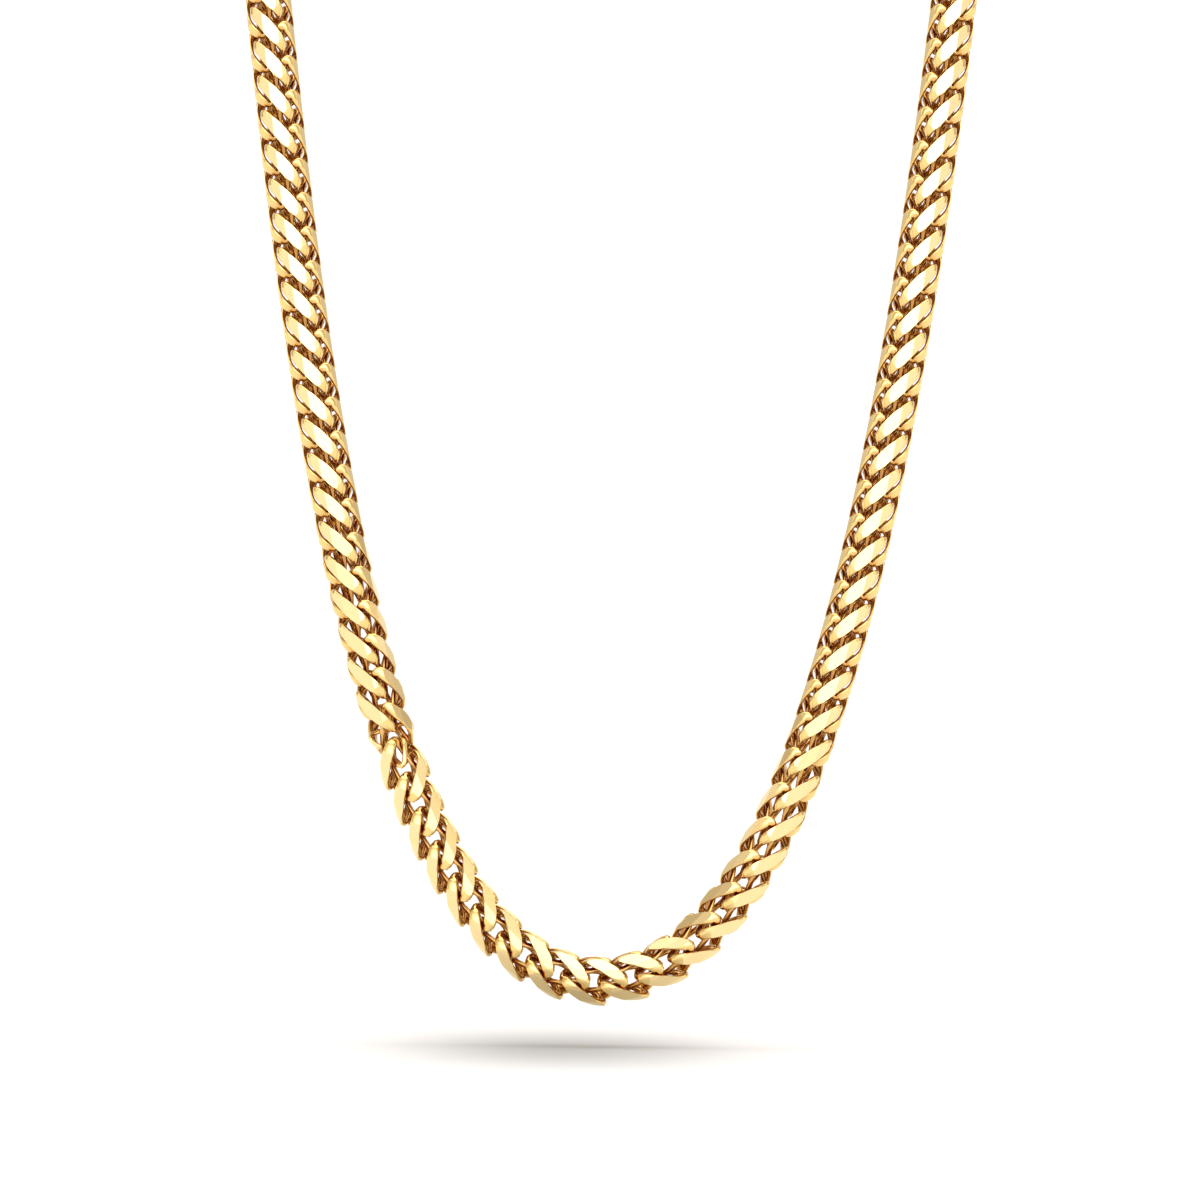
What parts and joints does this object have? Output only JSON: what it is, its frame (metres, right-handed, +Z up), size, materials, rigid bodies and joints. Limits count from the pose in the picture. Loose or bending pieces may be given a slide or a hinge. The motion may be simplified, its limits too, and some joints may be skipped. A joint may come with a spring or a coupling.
{
  "type": "franco chain necklace",
  "caption": "Square-section neck chain of interlaced folded flat-cut rings in yellow gold colour, hanging in a narrow loop with a plain closed clasp at the back.",
  "frame": {"origin": "middle of the neck, level with the chain where it goes round the back of the neck", "axes": "+Z up, -Y the wearer's front where the chain hangs, +X to the right as the front is looked at"},
  "size_m": [0.1044, 0.0927, 0.1725],
  "materials": {
    "chain": "polished yellow gold plate",
    "clasp": "polished yellow gold plate"
  },
  "bodies": {
    "root": {"chain_left": "chain", "chain_right": "chain", "clasp": "clasp"}
  },
  "joints": []
}
